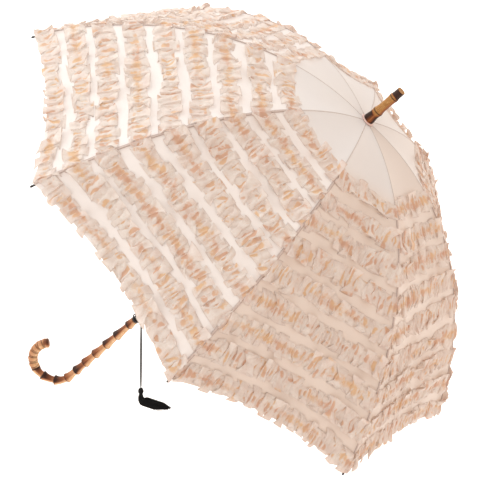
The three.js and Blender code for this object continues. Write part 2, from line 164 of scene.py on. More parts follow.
def sweep(centres, radii, sides, up=(0, 1, 0), oval=None):
    """Points and faces of a closed tube along centres; up must not be parallel to the path."""
    centres = np.asarray(centres, float)
    radii = np.broadcast_to(np.asarray(radii, float), (len(centres),))
    tangents = np.gradient(centres, axis=0)
    tangents /= np.linalg.norm(tangents, axis=1, keepdims=True)
    side = np.cross(tangents, np.asarray(up, float))
    side /= np.linalg.norm(side, axis=1, keepdims=True)
    other = np.cross(side, tangents)
    angles = np.arange(sides) * TAU / sides
    ring = np.cos(angles)[None, :, None] * side[:, None] + np.sin(angles)[None, :, None] * other[:, None]
    scale = radii[:, None, None] if oval is None else radii[:, None, None] * oval(angles)[None, :, None]
    points = centres[:, None] + ring * scale
    faces = grid_faces(len(centres), sides, wrap=True).tolist()
    faces.append(list(range(sides))[::-1])
    faces.append([(len(centres) - 1) * sides + k for k in range(sides)])
    return points.reshape(-1, 3), faces, np.tile(angles, len(centres))


def lathe(profile, sides=64):
    """Points and faces of a solid of revolution about Z; the profile closes on itself."""
    profile = np.asarray(profile, float)
    angles = np.arange(sides) * TAU / sides
    radii, heights = profile[:, :1], np.repeat(profile[:, 1:], sides, 1)
    points = np.stack([radii * np.cos(angles), radii * np.sin(angles), heights], -1)
    rows = len(profile)
    i, j = np.meshgrid(np.arange(rows), np.arange(sides), indexing="ij")
    a, b = (i + 1) % rows, (j + 1) % sides
    faces = np.stack([i * sides + j, i * sides + b, a * sides + b, a * sides + j], -1).reshape(-1, 4)
    return points.reshape(-1, 3), faces


def smooth_step(x):
    x = np.clip(x, 0, 1)
    return x * x * (3 - 2 * x)


def smooth_noise(x, scale, generator):
    """A smooth random curve over x, roughly within -1 to 1."""
    span = x.max() - x.min()
    knots = max(4, int(span / scale) + 4)
    values = generator.uniform(-1, 1, knots)
    t = (x - x.min()) / scale
    i = np.clip(t.astype(int), 0, knots - 2)
    f = smooth_step(t - i)
    return values[i] * (1 - f) + values[i + 1] * f


# ---------------------------------------------------------------- canopy shape
ARC_STEP = 0.5 * MM
arc_table = np.arange(0, RIB_ARC + 60 * MM, ARC_STEP)


def slope_at(arc):
    x = np.asarray(arc) / RIB_ARC
    return np.radians(SLOPE_AT_CROWN + SLOPE_RISE * x + SLOPE_FADE * x * x)


_middle = slope_at(arc_table[:-1] + ARC_STEP / 2)
r_table = CROWN_R + np.concatenate([[0], np.cumsum(np.cos(_middle))]) * ARC_STEP
z_table = CROWN_Z - np.concatenate([[0], np.cumsum(np.sin(_middle))]) * ARC_STEP


def gore_point(arc, across, lift=0.0):
    """Points of a gore about its own middle: x out, y along the row, z up.

    across runs -1 to 1, rib to rib.
    """
    arc, across, lift = np.broadcast_arrays(arc, across, lift)
    middle = np.clip(1 - across * across, 0, 1)
    real = arc - HEM_DIP * RIB_ARC * middle * np.clip(arc / RIB_ARC, 0, 1.1) ** DIP_POWER
    r, z, slope = np.interp(real, arc_table, r_table), np.interp(real, arc_table, z_table), slope_at(real)
    pull = GORE_SAG * middle * np.sin(math.pi * np.clip(arc / RIB_ARC, 0, 1)) - lift
    x = r * math.cos(HALF_GORE) - np.sin(slope) * pull
    return np.stack([x, across * x * math.tan(HALF_GORE), z - np.cos(slope) * pull], -1)


def rib_point(arc, drop=0.0):
    """Radius and height on a rib's line, dropped below the cloth."""
    slope = slope_at(arc)
    r, z = np.interp(arc, arc_table, r_table), np.interp(arc, arc_table, z_table)
    return r - np.sin(slope) * drop, z - np.cos(slope) * drop


def turned(points, azimuth):
    c, s = math.cos(azimuth), math.sin(azimuth)
    return np.asarray(points) @ np.array([[c, s, 0], [-s, c, 0], [0, 0, 1]])


def gore_middle(gore):
    return (gore - 0.5) * 2 * HALF_GORE


def pleat(obj):
    """Bakes the object's placement into its mesh."""
    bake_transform(obj)


# ---------------------------------------------------------------- materials
class Nodes:
    """A short way to write a node material."""

    def __init__(self, name):
        self.material = bpy.data.materials.new(name)
        self.material.use_nodes = True
        self.tree = self.material.node_tree
        self.shader = self.tree.nodes["Principled BSDF"]
        self.output = self.tree.nodes["Material Output"]

    def add(self, kind, inputs=None, **settings):
        node = self.tree.nodes.new(kind)
        for key, value in settings.items():
            setattr(node, key, value)
        for key, value in (inputs or {}).items():
            self.put(node.inputs[key], value)
        return node

    def put(self, socket, value):
        if isinstance(value, bpy.types.NodeSocket):
            self.tree.links.new(value, socket)
        else:
            socket.default_value = value

    def set(self, **inputs):
        for key, value in inputs.items():
            self.put(self.shader.inputs[key.replace("_", " ")], value)

    def value(self, name):
        return self.add("ShaderNodeAttribute", attribute_name=name).outputs["Fac"]

    def math(self, operation, a, b=0.0, clamp=False):
        node = self.add("ShaderNodeMath", operation=operation, use_clamp=clamp)
        self.put(node.inputs[0], a)
        self.put(node.inputs[1], b)
        return node.outputs[0]

    def ramp(self, factor, *stops):
        node = self.add("ShaderNodeValToRGB", {"Fac": factor})
        elements = node.color_ramp.elements
        while len(elements) < len(stops):
            elements.new(0.5)
        for element, (position, color) in zip(elements, stops):
            element.position = position
            element.color = (*color, 1)
        return node.outputs["Color"]

    def mix(self, factor, a, b):
        node = self.add("ShaderNodeMix", data_type="RGBA")
        self.put(node.inputs[0], factor)
        self.put(node.inputs[6], a if isinstance(a, bpy.types.NodeSocket) else (*a, 1))
        self.put(node.inputs[7], b if isinstance(b, bpy.types.NodeSocket) else (*b, 1))
        return node.outputs[2]

    def noise(self, scale, detail=3.0, roughness=0.5, vector=None):
        inputs = {"Scale": scale, "Detail": detail, "Roughness": roughness}
        if vector is not None:
            inputs["Vector"] = vector
        else:
            inputs["Vector"] = self.add("ShaderNodeTexCoord").outputs["Object"]
        return self.add("ShaderNodeTexNoise", inputs).outputs["Fac"]

    def bump(self, height, distance, strength=1.0):
        node = self.add("ShaderNodeBump", {"Height": height, "Distance": distance, "Strength": strength})
        return node.outputs["Normal"]


def srgb(r, g, b):
    def linear(c):
        c /= 255
        return c / 12.92 if c <= 0.04045 else ((c + 0.055) / 1.055) ** 2.4
    return linear(r), linear(g), linear(b)


def grey(value):
    return (value,) * 3


BLACK, WHITE = grey(0), grey(1)


def weave_height(m, threads_per_m=1400):
    """Plain weave from the arc and row attributes, in metres along the cloth."""
    waves = []
    for name in ("arc", "row"):
        turns = m.math("MULTIPLY", m.value(name), TAU * threads_per_m)
        waves.append(m.math("SINE", turns))
    return m.math("MULTIPLY", waves[0], waves[1])


def satin_material():
    m = Nodes("ivory_satin")
    mottle = m.noise(9.0, 4.0, 0.6)
    color = m.ramp(mottle, (0.3, srgb(244, 236, 232)), (0.7, srgb(249, 243, 240)))
    # painted shade: the cap's satin is a greyer copy of the same cloth's colour
    painted_shade_cap_color = m.ramp(mottle, (0.3, srgb(235, 231, 230)), (0.7, srgb(239, 236, 235)))
    color = m.mix(m.value("cap"), color, painted_shade_cap_color)
    # painted shade: the satin is darkened gore by gore by the tone attribute
    color = m.mix(m.math("MULTIPLY", m.value("tone"), 0.5), color, srgb(224, 204, 188))
    # painted shade on the satin next to each rib's seam
    seam = m.ramp(m.value("across"), (0.0, BLACK), (0.93, BLACK), (1.0, WHITE))
    color = m.mix(m.math("MULTIPLY", seam, 0.35), color, srgb(226, 206, 194))
    sheen_streaks = m.noise(14.0, 5.0, 0.55)
    m.set(Base_Color=color, Roughness=m.ramp(sheen_streaks, (0.3, grey(0.42)), (0.7, grey(0.56))))
    m.set(Sheen_Weight=0.25, Sheen_Roughness=0.4, Specular_IOR_Level=0.4)
    wrinkle = m.noise(30.0, 3.0, 0.5)
    height = m.math("ADD", m.math("MULTIPLY", weave_height(m), 0.06), wrinkle)
    m.set(Normal=m.bump(height, 0.6 * MM, 0.5))
    translucent = m.add("ShaderNodeBsdfTranslucent", {"Color": (*srgb(252, 232, 208), 1)})
    both = m.add("ShaderNodeMixShader", {0: 0.12, 1: m.shader.outputs[0], 2: translucent.outputs[0]})
    m.put(m.output.inputs["Surface"], both.outputs[0])
    return m.material


def organza_material():
    """Stands in for sheer cloth with an opaque one that lets some light through.

    The tan is painted on, in random patches along the folds: partly the tan of sheer cloth lying doubled,
    partly painted shade in the valleys of the small creases and on one flank of each fold. It isn't worked
    out from where the cloth overlaps. The thin darker lines along the creases are painted shade. Uses the
    attributes along, side, fold, tuck and edge.
    """
    m = Nodes("cream_organza")
    crease_plane = m.add("ShaderNodeCombineXYZ", {
        "X": m.math("MULTIPLY", m.value("along"), 240.0),
        "Y": m.math("MULTIPLY", m.value("side"), 1.4),
    }).outputs[0]
    patches = m.noise(45.0, 4.0, 0.65)
    color = m.ramp(patches, (0.32, srgb(232, 216, 206)), (0.6, srgb(240, 230, 222)))
    blush = m.ramp(m.noise(23.0, 2.0), (0.5, BLACK), (0.72, WHITE))
    color = m.mix(m.math("MULTIPLY", blush, 0.2), color, srgb(232, 208, 199))

    torn = m.ramp(m.noise(95.0, 4.0, 0.65), (0.36, grey(0.15)), (0.58, WHITE))
    # tan: partly doubled sheer cloth, partly painted shade in the creases and on one flank of each fold
    tan_and_painted_shade = m.ramp(m.math("MULTIPLY", m.value("fold"), torn), (0.1, BLACK), (0.42, WHITE))
    deep = m.ramp(m.noise(30.0, 2.0), (0.4, srgb(234, 192, 138)), (0.6, srgb(221, 170, 134)))
    color = m.mix(m.math("MULTIPLY", tan_and_painted_shade, 0.74), color, deep)

    # painted shade along thin lines where creases would be shaded
    contour = m.noise(1.0, 3.0, 0.55, crease_plane)
    painted_crease_shade = m.ramp(contour, (0.45, BLACK), (0.47, WHITE), (0.49, BLACK))
    color = m.mix(m.math("MULTIPLY", painted_crease_shade, 0.3), color, srgb(214, 182, 156))

    tucked_patches = m.ramp(m.noise(120.0, 3.0), (0.45, BLACK), (0.6, WHITE))
    tuck = m.math("MULTIPLY", m.value("tuck"), tucked_patches)
    color = m.mix(m.math("MULTIPLY", tuck, 0.4), color, srgb(208, 168, 150))
    rim = m.ramp(m.value("edge"), (0.92, BLACK), (0.975, WHITE))
    rim = m.math("MULTIPLY", rim, m.ramp(m.noise(40.0, 2.0), (0.42, BLACK), (0.65, grey(0.36))))
    color = m.mix(rim, color, srgb(166, 138, 122))
    m.set(Base_Color=color, Roughness=0.5, Sheen_Weight=0.5, Sheen_Roughness=0.4)
    m.set(Normal=m.bump(m.noise(190.0, 5.0, 0.65), 1.0 * MM, 0.22))
    translucent = m.add("ShaderNodeBsdfTranslucent", {"Color": color})
    both = m.add("ShaderNodeMixShader", {0: 0.28, 1: m.shader.outputs[0], 2: translucent.outputs[0]})
    m.put(m.output.inputs["Surface"], both.outputs[0])
    return m.material


def bamboo_material(name, dark, middle, light):
    """Varnished bamboo with scorched patches and painted shade. Uses the attributes along, round, scorch and
    node.
    """
    m = Nodes(name)

    def stretched(per_m, around):
        return m.add("ShaderNodeCombineXYZ", {
            "X": m.math("MULTIPLY", m.value("along"), per_m),
            "Y": m.math("MULTIPLY", m.math("SINE", m.value("round")), around),
            "Z": m.math("MULTIPLY", m.math("COSINE", m.value("round")), around),
        }).outputs[0]

    grain = m.noise(14.0, 4.0, 0.6, stretched(12.0, 1.6))
    straw = m.ramp(grain, (0.3, dark), (0.5, middle), (0.72, light))
    ragged = m.noise(1.0, 4.0, 0.65, stretched(50.0, 4.5))
    scorch_and_painted_shade = m.value("scorch_and_painted_shade")
    # the scorch attribute darkens the straw: scorching on the handle, painted shade on the ferrule's foot
    # and side
    toast_and_painted_shade = m.math("ADD", m.math("MULTIPLY", scorch_and_painted_shade, 1.9), m.math("MULTIPLY", ragged, -0.7), clamp=True)
    color = m.mix(m.math("MULTIPLY", toast_and_painted_shade, 0.95), straw, srgb(156, 84, 42))
    burnt_and_painted_shade = m.math("SUBTRACT", m.math("MULTIPLY", scorch_and_painted_shade, 2.6), m.math("ADD", ragged, 0.95), clamp=True)
    color = m.mix(burnt_and_painted_shade, color, srgb(50, 24, 12))
    color = m.mix(m.math("MULTIPLY", m.value("node"), 0.95), color, srgb(52, 26, 14))
    m.set(Base_Color=color, Roughness=0.45, Specular_IOR_Level=0.2, Coat_Weight=0.12, Coat_Roughness=0.12)
    m.set(Normal=m.bump(grain, 0.35 * MM, 0.5))
    return m.material


def cord_material(name, color, turns_per_m=700):
    m = Nodes(name)
    turns = m.math("MULTIPLY", m.value("along"), TAU * turns_per_m)
    lay = m.math("SINE", m.math("ADD", turns, m.value("round")))
    fuzz = m.noise(900.0, 2.0)
    shade = m.ramp(m.noise(200.0), (0.3, color), (0.8, tuple(min(1, c * 2 + 0.001) for c in color)))
    m.set(Base_Color=shade, Roughness=0.75, Specular_IOR_Level=0.25)
    m.set(Normal=m.bump(m.math("ADD", lay, fuzz), 0.25 * MM, 0.7))
    return m.material


def seam_material():
    """Felled seam: one colour on the plain cap, with darker lines along it further out.

    Uses the attributes along and round.
    """
    m = Nodes("felled_seam")
    outer = m.ramp(m.value("along"), (0.13, BLACK), (0.17, WHITE))
    edges = m.math("ABSOLUTE", m.math("SINE", m.value("round")))
    line_mask = m.ramp(edges, (0.1, WHITE), (0.22, BLACK), (0.5, BLACK), (0.8, grey(0.5)))
    lines = m.mix(line_mask, srgb(222, 204, 194), srgb(160, 136, 127))
    color = m.mix(outer, srgb(208, 196, 189), lines)
    faded = m.ramp(m.noise(90.0, 3.0), (0.5, BLACK), (0.7, grey(0.45)))
    color = m.mix(faded, color, srgb(222, 204, 194))
    stitches = m.math("SINE", m.math("MULTIPLY", m.value("along"), TAU * 500))
    m.set(Base_Color=color, Roughness=0.6)
    m.set(Normal=m.bump(m.math("ADD", stitches, m.noise(400.0)), 0.2 * MM, 0.6))
    return m.material


def metal_material(name, color, roughness, metallic, wear):
    """Plated or lacquered metal with fine scratches and a little wear."""
    m = Nodes(name)
    scratches = m.noise(420.0, 6.0, 0.7)
    worn = m.ramp(m.noise(70.0, 5.0, 0.65), (0.55, BLACK), (0.75, WHITE))
    tint = m.mix(m.math("MULTIPLY", worn, wear), color, tuple(min(1, c * 1.6 + 0.05) for c in color))
    low, high = roughness - 0.07, roughness + 0.1
    shine = m.ramp(scratches, (0.3, grey(low)), (0.7, grey(high)))
    m.set(Base_Color=tint, Metallic=metallic, Roughness=shine)
    m.set(Normal=m.bump(scratches, 0.05 * MM, 0.4))
    return m.material


def pink_material():
    m = Nodes("pink_rosette_cloth")
    gathers = m.math("SINE", m.math("MULTIPLY", m.value("round"), 42.0))
    color = m.ramp(m.noise(300.0), (0.3, srgb(232, 190, 178)), (0.7, srgb(248, 218, 208)))
    m.set(Base_Color=color, Roughness=0.6, Sheen_Weight=0.4)
    m.set(Normal=m.bump(m.math("ADD", m.math("MULTIPLY", gathers, 0.6), m.noise(500.0)), 0.3 * MM, 0.7))
    return m.material


def floor_material():
    """Pale floor, seen from above only, so that views from below look through it."""
    m = Nodes("pale_floor")
    tone = m.ramp(m.noise(0.8, 2.0), (0.3, grey(0.93)), (0.7, grey(0.95)))
    m.set(Base_Color=tone, Roughness=0.9, Emission_Color=(1, 1, 1, 1), Emission_Strength=0.55)
    clear = m.add("ShaderNodeBsdfTransparent")
    back = m.add("ShaderNodeNewGeometry").outputs["Backfacing"]
    both = m.add("ShaderNodeMixShader", {0: back, 1: m.shader.outputs[0], 2: clear.outputs[0]})
    m.put(m.output.inputs["Surface"], both.outputs[0])
    return m.material


SATIN = satin_material()
ORGANZA = organza_material()
HANDLE_BAMBOO = bamboo_material(
    "scorched_bamboo", srgb(172, 116, 70), srgb(222, 176, 128), srgb(252, 230, 198),
)
FERRULE_BAMBOO = bamboo_material(
    "smoked_bamboo_with_painted_shade", srgb(120, 74, 34), srgb(176, 124, 66), srgb(214, 168, 110),
)
BLACK_CORD = cord_material("black_silk_cord", srgb(9, 8, 9))
BLACK_STEEL = metal_material("black_lacquered_steel", srgb(38, 34, 33), 0.4, 0.35, 0.25)
NICKEL = metal_material("nickel_plate", srgb(176, 172, 166), 0.28, 1.0, 0.3)
SEAM_TAPE = seam_material()
PINK = pink_material()


# ---------------------------------------------------------------- canopy cloth
def canopy_half(gore, side):
    """Half a gore of satin, from its middle to its rib, with a slightly raised edge for the hem."""
    arcs = np.concatenate([np.arange(0, 20, 2.5), np.arange(20, 586, 5), [586, 588, 589.4, 590]]) * MM
    across = np.linspace(0, 1, 21)
    sign = -1 if side == "left" else 1
    a, c = np.meshgrid(arcs, across, indexing="ij")
    hem = np.clip((a - HEM_START) / HEM_SLOPE, 0, 1) * HEM_RISE
    points = gore_point(a, sign * c, hem - HEM_RISE).reshape(-1, 3)
    faces = grid_faces(len(arcs), len(across))
    if sign > 0:
        faces = faces[:, ::-1]
    obj = new_mesh(f"canopy_{gore}_{side}", turned(points, gore_middle(gore)), faces[:, ::-1], None, SATIN)
    add_attribute(obj, "arc", a.ravel())
    add_attribute(obj, "row", points[:, 1])
    add_attribute(obj, "across", c.ravel())
    outer = smooth_step((a.ravel() - CAP_EDGE) / CAP_FADE)
    # painted shade: each gore's satin darkened by the amounts above, stored as the tone attribute
    tone = CAP_PAINTED_SHADE.get(gore, CAP_PAINTED_SHADE_ELSEWHERE) * (1 - outer) + OUTER_PAINTED_SHADE.get(gore, 0.0) * outer
    add_attribute(obj, "tone", tone)
    add_attribute(obj, "cap", 1 - outer)
    thicken(obj, SATIN_THICKNESS, -1)
    pleat(obj)
    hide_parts(f"gore_{gore}_{side}")


def seam(rib):
    """The felled seam over a rib: a flat welt, narrow on the cap and wider between the ruffles."""
    azimuth = (rib - 1) * 2 * HALF_GORE
    arcs = np.linspace(6, 589, 150) * MM
    r, z = rib_point(arcs)
    centres = turned(np.stack([r, 0 * r, z], -1), azimuth)
    sides = 12
    half_width = np.interp(arcs, [140 * MM, 170 * MM], [0.9 * MM, 2.5 * MM])
    points, faces, angles = sweep(
        centres, half_width, sides, up=(-math.sin(azimuth), math.cos(azimuth), 0),
        oval=lambda angle: 1 / np.hypot(np.sin(angle), np.cos(angle) * WELT_FLATNESS),
    )
    obj = new_mesh(f"seam_{rib}", points, faces, f"rib_{rib}", SEAM_TAPE)
    add_attribute(obj, "along", np.repeat(arcs, sides))
    add_attribute(obj, "round", angles)


# ---------------------------------------------------------------- ruffles
EDGE_STEPS = 8  # points from the stitch line to the edge
RUFFLE_STEP = 0.8 * MM
LOBE_LENGTH = 27 * MM
LOBE_HEIGHT = 5.2 * MM
EDGE_LIFT = 8 * MM
SEAM_COVER = 1.6 * MM  # how far the ends of a ruffle climb over the seam


def ruffle_strip(gore, row):
    """One gathered strip across a whole gore: points, attributes and the place across, -1 to 1.

    The folds run across the strip, over its stitch line; towards each edge they wander, lean and overhang.
    Smaller creases crumple the folds. All of it is random: no fold copies one in the photograph.
    """
    generator = np.random.default_rng(1000 * gore + row)
    stitch = RUFFLE_FIRST + row * RUFFLE_PITCH + generator.uniform(-1.5, 1.5) * MM
    half = gore_point(stitch, 1.0)[1] - 0.3 * MM
    count = int(2 * half / RUFFLE_STEP) // 2 * 2 + 1
    p = np.linspace(-half, half, count)

    def noise(scale_mm):
        return smooth_noise(p, scale_mm * MM, generator)

    def between(first, last, w):
        return first * (1 - w) + last * w

    wobble = noise(55) * 1.5 * MM
    gathered_loosely = np.clip(0.5 + 1.5 * noise(60), 0, 1)
    ends = np.clip(0.4 + (half - np.abs(p)) / (8 * MM), 0, 1) ** 0.5
    wave = LOBE_LENGTH * 2 ** (0.75 * noise(30))
    base_phase = np.concatenate([[0], np.cumsum(TAU / wave[:-1] * np.diff(p))]) + generator.uniform(0, TAU)
    small_wave = 8.5 * MM * 2 ** (0.6 * noise(14))
    small_phase = np.concatenate([[0], np.cumsum(TAU / small_wave[:-1] * np.diff(p))])
    stitch_size, stitch_swell, stitch_lean = 0.65 + 0.6 * noise(20), 0.14 + 0.1 * noise(30), 0.3 * noise(40)
    stitch_crumple, stitch_patch = np.abs(noise(5)), noise(9)
    rows, attributes = [], {"edge": [], "side": [], "fold": [], "along": [], "tuck": []}
    for sigma in (-1, 1):
        size, swell, lean = 0.65 + 0.7 * noise(22), 0.24 + 0.16 * noise(30), 0.5 * noise(45)
        wander, small_wander = 2.2 * noise(20), 2.5 * noise(9)
        pinch = np.clip(noise(40) * 3 - 1.7, 0, 1)
        width = RUFFLE_WIDTH * (1 + 0.2 * noise(17)) * (1 - 0.45 * pinch) * (0.75 + 0.25 * ends)
        if row == RUFFLE_ROWS - 1 and sigma > 0:
            width = width * 1.15
        middle_crumple, edge_crumple = np.abs(noise(5.5)), np.abs(noise(6.5))
        middle_patch, edge_patch = noise(8), noise(10)
        lift = EDGE_LIFT * np.clip(1.5 * noise(17), -0.35, 1)
        side_rows = []
        for step in range(EDGE_STEPS + 1):
            w = step / EDGE_STEPS
            phase = base_phase + wander * w ** 1.3
            crest = 0.5 + 0.52 * np.tanh(1.5 * np.sin(phase))
            swell_here = wave * np.clip(between(stitch_swell, swell, w), 0.03, 0.34)
            lean_here = wave * between(stitch_lean, lean, w)
            height = LOBE_HEIGHT * ends * np.clip(between(stitch_size, size, w), 0.12, 1.3)
            profile = 0.62 + 0.38 * math.sin(1.1 * math.pi * w) - 0.12 * w ** 3
            if w < 0.5:
                crumple = between(stitch_crumple, middle_crumple, 2 * w)
                patch = between(stitch_patch, middle_patch, 2 * w)
            else:
                crumple = between(middle_crumple, edge_crumple, 2 * w - 1)
                patch = between(middle_patch, edge_patch, 2 * w - 1)
            up = 0.9 * MM + (height * profile + lift * w ** 2) * crest
            small = np.tanh(1.6 * np.sin(small_phase + small_wander * w))
            up = up + 0.9 * MM * small + 1.7 * MM * (np.minimum(crumple, 0.6) - 0.3)
            up = np.maximum(up, 0.5 * MM + SEAM_COVER * np.clip(1 - (half - np.abs(p)) / (7 * MM), 0, 1))
            shift = (0.2 + 0.8 * w) * (lean_here * (crest - 0.5) - swell_here * np.sin(2 * phase))
            scallop = 1 - 0.3 * w * (1 - np.abs(np.sin(phase / 2 + math.pi / 4)))
            arc = stitch + wobble + sigma * width * w * scallop
            x_tan = gore_point(arc, 0.0)[:, 0] * math.tan(HALF_GORE)
            across = np.clip((p + shift) / x_tan, -1, 1)
            # fold tells where tan is painted: along the spine it is the tan of doubled cloth; in the valleys
            # of the small creases and on one flank of each fold it is painted shade
            flank = np.clip(0.25 - 0.8 * small + 0.4 * np.cos(phase), 0, 1)
            spine = between(0.12, 0.46, gathered_loosely) * math.exp(-(w / 0.42) ** 2)
            reach = np.exp(-(w / between(1.1, 0.5, gathered_loosely)) ** 2)
            fold = spine + np.clip(2.2 * patch + 0.35, 0, 1) * flank * reach
            side_rows.append((gore_point(arc, across, up), np.full(count, w), np.clip(fold, 0, 1)))
        if sigma < 0:
            side_rows = side_rows[:0:-1]
        for points, w, fold in side_rows:
            rows.append(points)
            attributes["edge"].append(w)
            attributes["side"].append(sigma * w + 10 * row)
            attributes["fold"].append(fold)
            attributes["along"].append(p + gore)
            attributes["tuck"].append(np.clip(1 - (half - np.abs(p)) / (14 * MM), 0, 1))
    points = np.stack(rows)
    return points, {k: np.stack(v) for k, v in attributes.items()}, p / half


def ruffles_half(gore, side, strips):
    """All nine strips of a half gore as one piece."""
    sign = -1 if side == "left" else 1
    verts, faces, shares, offset = [], [], [], 0
    values = {"edge": [], "side": [], "fold": [], "along": [], "tuck": []}
    for points, attributes, across in strips:
        keep = np.flatnonzero(sign * across >= -1e-9)
        part = points[:, keep]
        lines, columns = part.shape[:2]
        verts.append(part.reshape(-1, 3))
        faces.append(grid_faces(lines, columns, offset=offset))
        offset += lines * columns
        near_middle = np.clip(np.abs(across[keep]) / 0.06, 0, 1)
        f = np.clip(sign * part[..., 1] / (part[..., 0] * math.tan(HALF_GORE)), 0, 1) * near_middle[None]
        shares.append((1 - f).ravel())
        for key in values:
            values[key].append(attributes[key][:, keep].ravel())
    verts = turned(np.concatenate(verts), gore_middle(gore))
    obj = new_mesh(f"ruffles_{gore}_{side}", verts, np.concatenate(faces), None, ORGANZA)
    for key, value in values.items():
        add_attribute(obj, key, np.concatenate(value))
    thicken(obj, ORGANZA_THICKNESS, 0)
    pleat(obj)
    obj.visible_shadow = False  # stands in for sheer cloth: the organza itself is modelled opaque


for gore in range(1, GORES + 1):
    strips = [ruffle_strip(gore, row) for row in range(RUFFLE_ROWS)]
    for side in ("left", "right"):
        canopy_half(gore, side)
        ruffles_half(gore, side, strips)
for rib in range(1, GORES + 1):
    seam(rib)


# ---------------------------------------------------------------- bamboo handle
# mm, from the handle's top round the crook; those under RING_LENGTH are the crook's close rings
INTERNODES = [16.6, 33, 30.4, 30, 29.5, 25, 26.5, 24.5, 25.5, 18.5] + [6.2] * 12
RING_LENGTH = 8
node_places = np.cumsum(INTERNODES) * MM


def handle_line(distance):
    """Centre of the handle at a distance from its top: straight down, then round the crook towards -X."""
    straight = HANDLE_TOP - HANDLE_STRAIGHT_END
    angle = np.clip(distance - straight, 0, None) / CROOK_R
    x = -CROOK_R * (1 - np.cos(angle))
    z = HANDLE_TOP - np.minimum(distance, straight) - CROOK_R * np.sin(angle)
    return np.stack([x, 0 * x, z], -1)


def bamboo_profile(distance, nodes, waist, flare, ledge):
    """Radius of bamboo that flares to a lip at each node, nearness to a node, and place in the internode."""
    index = np.clip(np.searchsorted(nodes, distance), 0, len(nodes) - 1)
    starts = np.concatenate([[0], nodes])[index]
    length = np.maximum(nodes[index] - starts, 1e-6)
    t = np.clip((distance - starts) / length, 0, 1)
    long = np.clip((length - RING_LENGTH * MM) / (12 * MM), 0, 1)
    trumpet = flare * (t ** 2.4 + 0.15 * np.exp(-((distance - starts) / ledge) ** 2))
    bead = 1.1 * MM + 1.7 * MM * np.sin(math.pi * t) ** 0.6
    nearest = np.min(np.abs(distance[:, None] - nodes[None]), axis=1)
    near_node = np.exp(-(nearest / np.where(length < RING_LENGTH * MM, 0.9 * MM, 1.5 * MM)) ** 4)
    return waist + long * trumpet + (1 - long) * bead, near_node, t


def handle():
    total = (HANDLE_TOP - HANDLE_STRAIGHT_END) + CROOK_R * CROOK_ARC
    distance = np.arange(0, total - 0.3 * MM, 0.6 * MM)
    radius, near_node, t = bamboo_profile(distance, node_places, HANDLE_WAIST, HANDLE_FLARE, HANDLE_LEDGE)
    radius -= 0.25 * MM * near_node
    end = np.clip((total - distance) / (4 * MM), 0, 1)
    radius *= np.sqrt(np.clip(1 - (1 - end) ** 2 * 0.6, 0, 1))
    centres = handle_line(distance)
    segment = np.searchsorted(node_places, distance)
    centres[:, 1] += np.where(segment % 2 == 0, 1, -1) * np.sin(math.pi * t) * 0.5 * MM
    sides = 40
    points, faces, angles = sweep(centres, radius, sides, up=(0, 1, 0))
    obj = new_mesh("bamboo_handle", points, faces, "shaft", HANDLE_BAMBOO)
    add_attribute(obj, "along", np.repeat(distance, sides))
    add_attribute(obj, "round", angles)
    burn = rng.uniform(0.78, 1.15, segment.max() + 1)[segment]
    ringed = np.asarray(INTERNODES + [6])[segment] < RING_LENGTH
    add_attribute(obj, "node", np.repeat(near_node * np.where(ringed, 0.75, 1), sides))
    stray = 0.3 * rng.uniform(-1, 1, segment.max() + 1)[segment]
    turn = np.where(ringed, RING_SCORCH, HANDLE_SCORCH) + stray
    along = np.where(ringed, 0.5, burn * (0.6 + 0.4 * t ** 1.5))
    facing = 0.5 + 0.5 * np.cos(angles - np.repeat(turn, sides))
    end_char = 0.36 * np.clip((distance - total + 9 * MM) / (7 * MM), 0, 1)
    scorch_and_painted_shade = np.repeat(along, sides) * np.clip(facing * 2.5 - 1.15, 0, 1) + np.repeat(end_char, sides)
    add_attribute(obj, "scorch_and_painted_shade", np.clip(scorch_and_painted_shade, 0, 1))
    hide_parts("handle")


